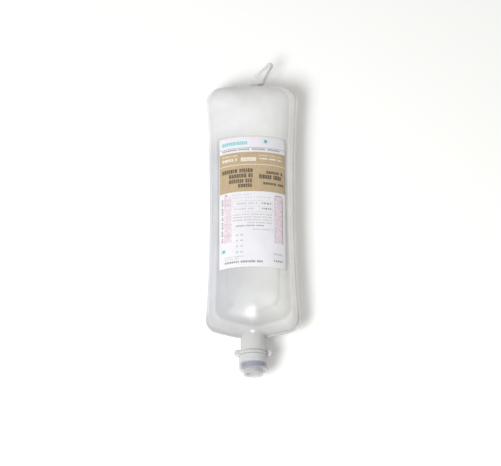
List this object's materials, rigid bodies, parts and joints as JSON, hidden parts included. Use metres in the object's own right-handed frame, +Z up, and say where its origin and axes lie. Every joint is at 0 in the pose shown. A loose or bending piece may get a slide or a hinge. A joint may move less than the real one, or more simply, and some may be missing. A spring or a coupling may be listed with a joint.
{
  "type": "iv fluid bag",
  "caption": "Flat oval translucent infusion container, filled, with a ported cap on its neck, a folding hanging strap and a printed label.",
  "frame": {"origin": "on the table, under the middle of the whole part as it lies on its back", "axes": "+X across the container, +Y along it from the port to the hanging strap, +Z up out of the labelled front"},
  "size_m": [0.0784, 0.2846, 0.0476],
  "materials": {
    "clear_polyethylene": "translucent, soft sheen",
    "strap_polyethylene": "translucent, satin",
    "cap_polyethylene": "translucent, satin",
    "grey_rubber": "matt",
    "saline": "clear liquid",
    "label_film": "printed film, satin"
  },
  "bodies": {
    "bag": {"container": "clear_polyethylene", "port_cap": "cap_polyethylene", "rubber_stopper": "grey_rubber", "fluid": "saline", "label": "label_film"},
    "hanger": {"hanger_loop": "strap_polyethylene"}
  },
  "joints": [
    {"name": "hanger_fold", "type": "hinge", "parent": "bag", "child": "hanger", "pos_m": [0.0046, 0.12125, 0.022], "axis": [1, 0, 0], "range_deg": [-90, 90], "stiffness_Nm_per_rad": 0.001}
  ]
}
